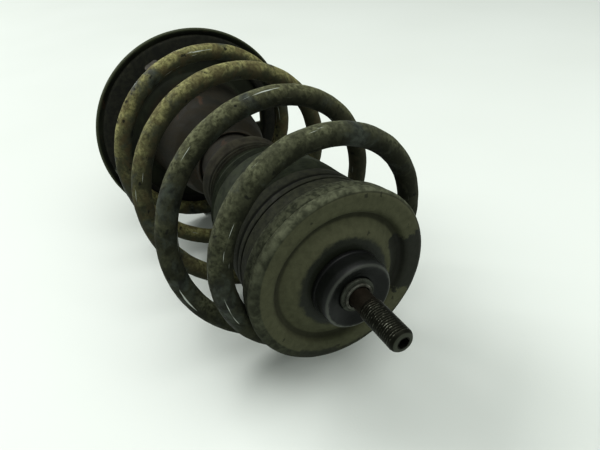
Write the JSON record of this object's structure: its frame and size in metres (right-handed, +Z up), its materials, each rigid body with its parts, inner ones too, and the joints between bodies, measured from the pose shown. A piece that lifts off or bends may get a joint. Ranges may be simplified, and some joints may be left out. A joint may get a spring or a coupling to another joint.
{
  "type": "suspension strut assembly",
  "caption": "Front suspension strut with coil spring, spring seats, dust boot, swivel bearing, knuckle bracket and a threaded rod end.",
  "frame": {"origin": "bottom centre of the bounding box, on the surface the strut lies on", "axes": "+X along the damper's axis towards the threaded rod end, +Z up, with the strut lying on its side"},
  "size_m": [0.525, 0.187, 0.1871],
  "materials": {
    "outer_tube": "worn black paint",
    "tube_base": "worn black paint",
    "pressure_tube": "oiled steel",
    "base_valve": "oiled",
    "rod_guide": "sintered",
    "rod_seal": "matt",
    "gland_cap": "worn black paint",
    "lower_spring_seat": "dusty black paint",
    "lower_spring_pad": "matt",
    "knuckle_bracket": "worn black paint",
    "coil_spring": "worn paint under dried mud",
    "dust_boot": "dusty",
    "upper_spring_seat": "dusty black paint",
    "upper_spring_pad": "dusty",
    "boot_collar": "dusty",
    "bump_stop": "cellular foam",
    "bump_stop_cup": "satin",
    "bearing_lower_race": "greased",
    "ball_cage": "greased",
    "bearing_upper_race": "greased",
    "top_bush": "satin, oily",
    "bush_sleeve": "stained",
    "lock_ring": "satin",
    "piston_rod": "oily, stained brown",
    "rebound_stop": "matt",
    "piston": "sintered",
    "piston_ring": "smooth",
    "piston_nut": "satin"
  },
  "bodies": {
    "damper": {"outer_tube": "outer_tube", "tube_base": "tube_base", "pressure_tube": "pressure_tube", "base_valve": "base_valve", "rod_guide": "rod_guide", "rod_seal": "rod_seal", "gland_cap": "gland_cap", "lower_spring_seat": "lower_spring_seat", "lower_spring_pad": "lower_spring_pad", "knuckle_bracket": "knuckle_bracket", "coil_spring": "coil_spring", "dust_boot": "dust_boot"},
    "spring_head": {"upper_spring_seat": "upper_spring_seat", "upper_spring_pad": "upper_spring_pad", "boot_collar": "boot_collar", "bump_stop": "bump_stop", "bump_stop_cup": "bump_stop_cup", "bearing_lower_race": "bearing_lower_race"},
    "bearing_cage": {"ball_cage": "ball_cage"},
    "rod": {"piston_rod": "piston_rod", "rebound_stop": "rebound_stop", "piston": "piston", "piston_ring": "piston_ring", "piston_nut": "piston_nut", "bearing_upper_race": "bearing_upper_race", "top_bush": "top_bush", "bush_sleeve": "bush_sleeve", "lock_ring": "lock_ring"}
  },
  "joints": [
    {"name": "strut_travel", "type": "slide", "parent": "damper", "child": "spring_head", "axis": [1, 0, 0], "range_m": [-0.078, 0], "stiffness_N_per_m": 20000, "deforming": ["coil_spring", "dust_boot"]},
    {"name": "top_swivel", "type": "hinge", "parent": "spring_head", "child": "rod", "pos_m": [0.2, 0, 0.09355], "axis": [1, 0, 0], "continuous": true},
    {"name": "cage_roll", "type": "hinge", "parent": "spring_head", "child": "bearing_cage", "pos_m": [0.2136, 0, 0.09355], "axis": [1, 0, 0], "continuous": true}
  ],
  "couplings": [
    {"joint": "cage_roll", "follows": "top_swivel", "ratio": 0.5}
  ]
}
